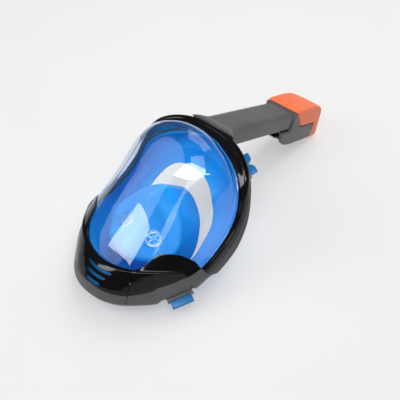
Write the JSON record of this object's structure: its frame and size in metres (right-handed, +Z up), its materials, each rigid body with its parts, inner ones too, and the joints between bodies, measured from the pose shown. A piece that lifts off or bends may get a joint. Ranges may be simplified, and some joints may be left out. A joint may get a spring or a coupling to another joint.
{
  "type": "full-face snorkel mask",
  "caption": "Full-face snorkel mask with a domed clear lens, soft skirt, breathing cup, chin valve, strap clips and a rear-slanting dry-top snorkel.",
  "frame": {"origin": "middle of the bounding box at the surface that the mask lies on, skirt and snorkel head down", "axes": "+Z up from that surface, +Y from the chin towards the snorkel's head, +X towards the wearer's left"},
  "size_m": [0.1842, 0.4268, 0.1552],
  "materials": {
    "lens_clear": "clear polished polycarbonate",
    "black_gloss": "high gloss",
    "wing_grey": "satin moulded",
    "tube_grey": "fine satin moulded",
    "blue_silicone": "soft translucent silicone",
    "blue_plastic": "satin moulded",
    "orange_plastic": "satin moulded",
    "black_rubber": "matt",
    "clear_plastic": "clear moulded",
    "white_plastic": "satin",
    "steel": "drawn wire"
  },
  "bodies": {
    "mask": {"lens": "lens_clear", "lens_gasket": "blue_silicone", "front_frame": "black_gloss", "rear_frame": "wing_grey", "skirt": "blue_silicone", "breathing_cup": "blue_silicone", "inhale_seat_l": "clear_plastic", "inhale_seat_r": "clear_plastic", "drain_seat": "clear_plastic", "slot_insert": "blue_plastic", "chin_accent": "black_gloss", "chin_cover": "wing_grey", "chin_base": "wing_grey", "wing_l": "wing_grey", "wing_r": "wing_grey", "wing_accent_l": "black_gloss", "wing_accent_r": "black_gloss", "snorkel_neck": "tube_grey", "clip_fork_upper_l": "wing_grey", "clip_pin_upper_l": "steel", "clip_fork_upper_r": "wing_grey", "clip_pin_upper_r": "steel", "clip_fork_lower_l": "wing_grey", "clip_pin_lower_l": "steel", "clip_fork_lower_r": "wing_grey", "clip_pin_lower_r": "steel"},
    "snorkel": {"snorkel_tube": "tube_grey", "tube_divider": "tube_grey", "hood": "tube_grey", "intake_grille": "black_gloss", "cap": "orange_plastic", "float_cage": "white_plastic", "float_keeper": "white_plastic"},
    "latch": {"latch_button": "blue_plastic"},
    "strap_clip_upper_l": {"clip_upper_l": "blue_plastic"},
    "strap_clip_upper_r": {"clip_upper_r": "blue_plastic"},
    "strap_clip_lower_l": {"clip_lower_l": "blue_plastic"},
    "strap_clip_lower_r": {"clip_lower_r": "blue_plastic"},
    "exhale_valve": {"drain_flap": "black_rubber"},
    "inhale_valve_l": {"inhale_flap_l": "blue_silicone"},
    "inhale_valve_r": {"inhale_flap_r": "blue_silicone"},
    "float_ball_l": {"float_l": "black_rubber"},
    "float_ball_r": {"float_r": "black_rubber"}
  },
  "joints": [
    {"name": "snorkel_slide", "type": "slide", "parent": "mask", "child": "snorkel", "axis": [0, 0.9188, -0.3948], "range_m": [0, 0.018]},
    {"name": "latch_press", "type": "slide", "parent": "snorkel", "child": "latch", "axis": [0, 0.3948, 0.9188], "range_m": [0, 0.0015], "stiffness_N_per_m": 400, "springref_m": -0.0015},
    {"name": "clip_hinge_upper_l", "type": "hinge", "parent": "mask", "child": "strap_clip_upper_l", "pos_m": [0.05304, -0.0112, 0.10524], "axis": [-0.8639, 0.3671, 0.3449], "range_deg": [-8, 70]},
    {"name": "clip_hinge_upper_r", "type": "hinge", "parent": "mask", "child": "strap_clip_upper_r", "pos_m": [-0.05304, -0.0112, 0.10524], "axis": [-0.8639, -0.3671, -0.3449], "range_deg": [-8, 70]},
    {"name": "clip_hinge_lower_l", "type": "hinge", "parent": "mask", "child": "strap_clip_lower_l", "pos_m": [0.074, -0.14421, 0.01536], "axis": [0.4827, 0.8467, 0.2237], "range_deg": [-8, 70]},
    {"name": "clip_hinge_lower_r", "type": "hinge", "parent": "mask", "child": "strap_clip_lower_r", "pos_m": [-0.074, -0.14421, 0.01536], "axis": [0.4827, -0.8467, -0.2237], "range_deg": [-8, 70]},
    {"name": "exhale_valve_lift", "type": "slide", "parent": "mask", "child": "exhale_valve", "axis": [0, -0.7453, 0.6668], "range_m": [0, 0.0015], "stiffness_N_per_m": 8, "springref_m": -0.0006},
    {"name": "inhale_valve_lift_l", "type": "slide", "parent": "mask", "child": "inhale_valve_l", "axis": [-0.3289, 0.3182, -0.8892], "range_m": [0, 0.0012], "stiffness_N_per_m": 8, "springref_m": -0.0006},
    {"name": "inhale_valve_lift_r", "type": "slide", "parent": "mask", "child": "inhale_valve_r", "axis": [0.3289, 0.3182, -0.8892], "range_m": [0, 0.0012], "stiffness_N_per_m": 8, "springref_m": -0.0006},
    {"name": "float_rise_l", "type": "slide", "parent": "snorkel", "child": "float_ball_l", "axis": [0, 0.9188, -0.3948], "range_m": [-0.0095, 0]},
    {"name": "float_rise_r", "type": "slide", "parent": "snorkel", "child": "float_ball_r", "axis": [0, 0.9188, -0.3948], "range_m": [-0.0095, 0]}
  ]
}
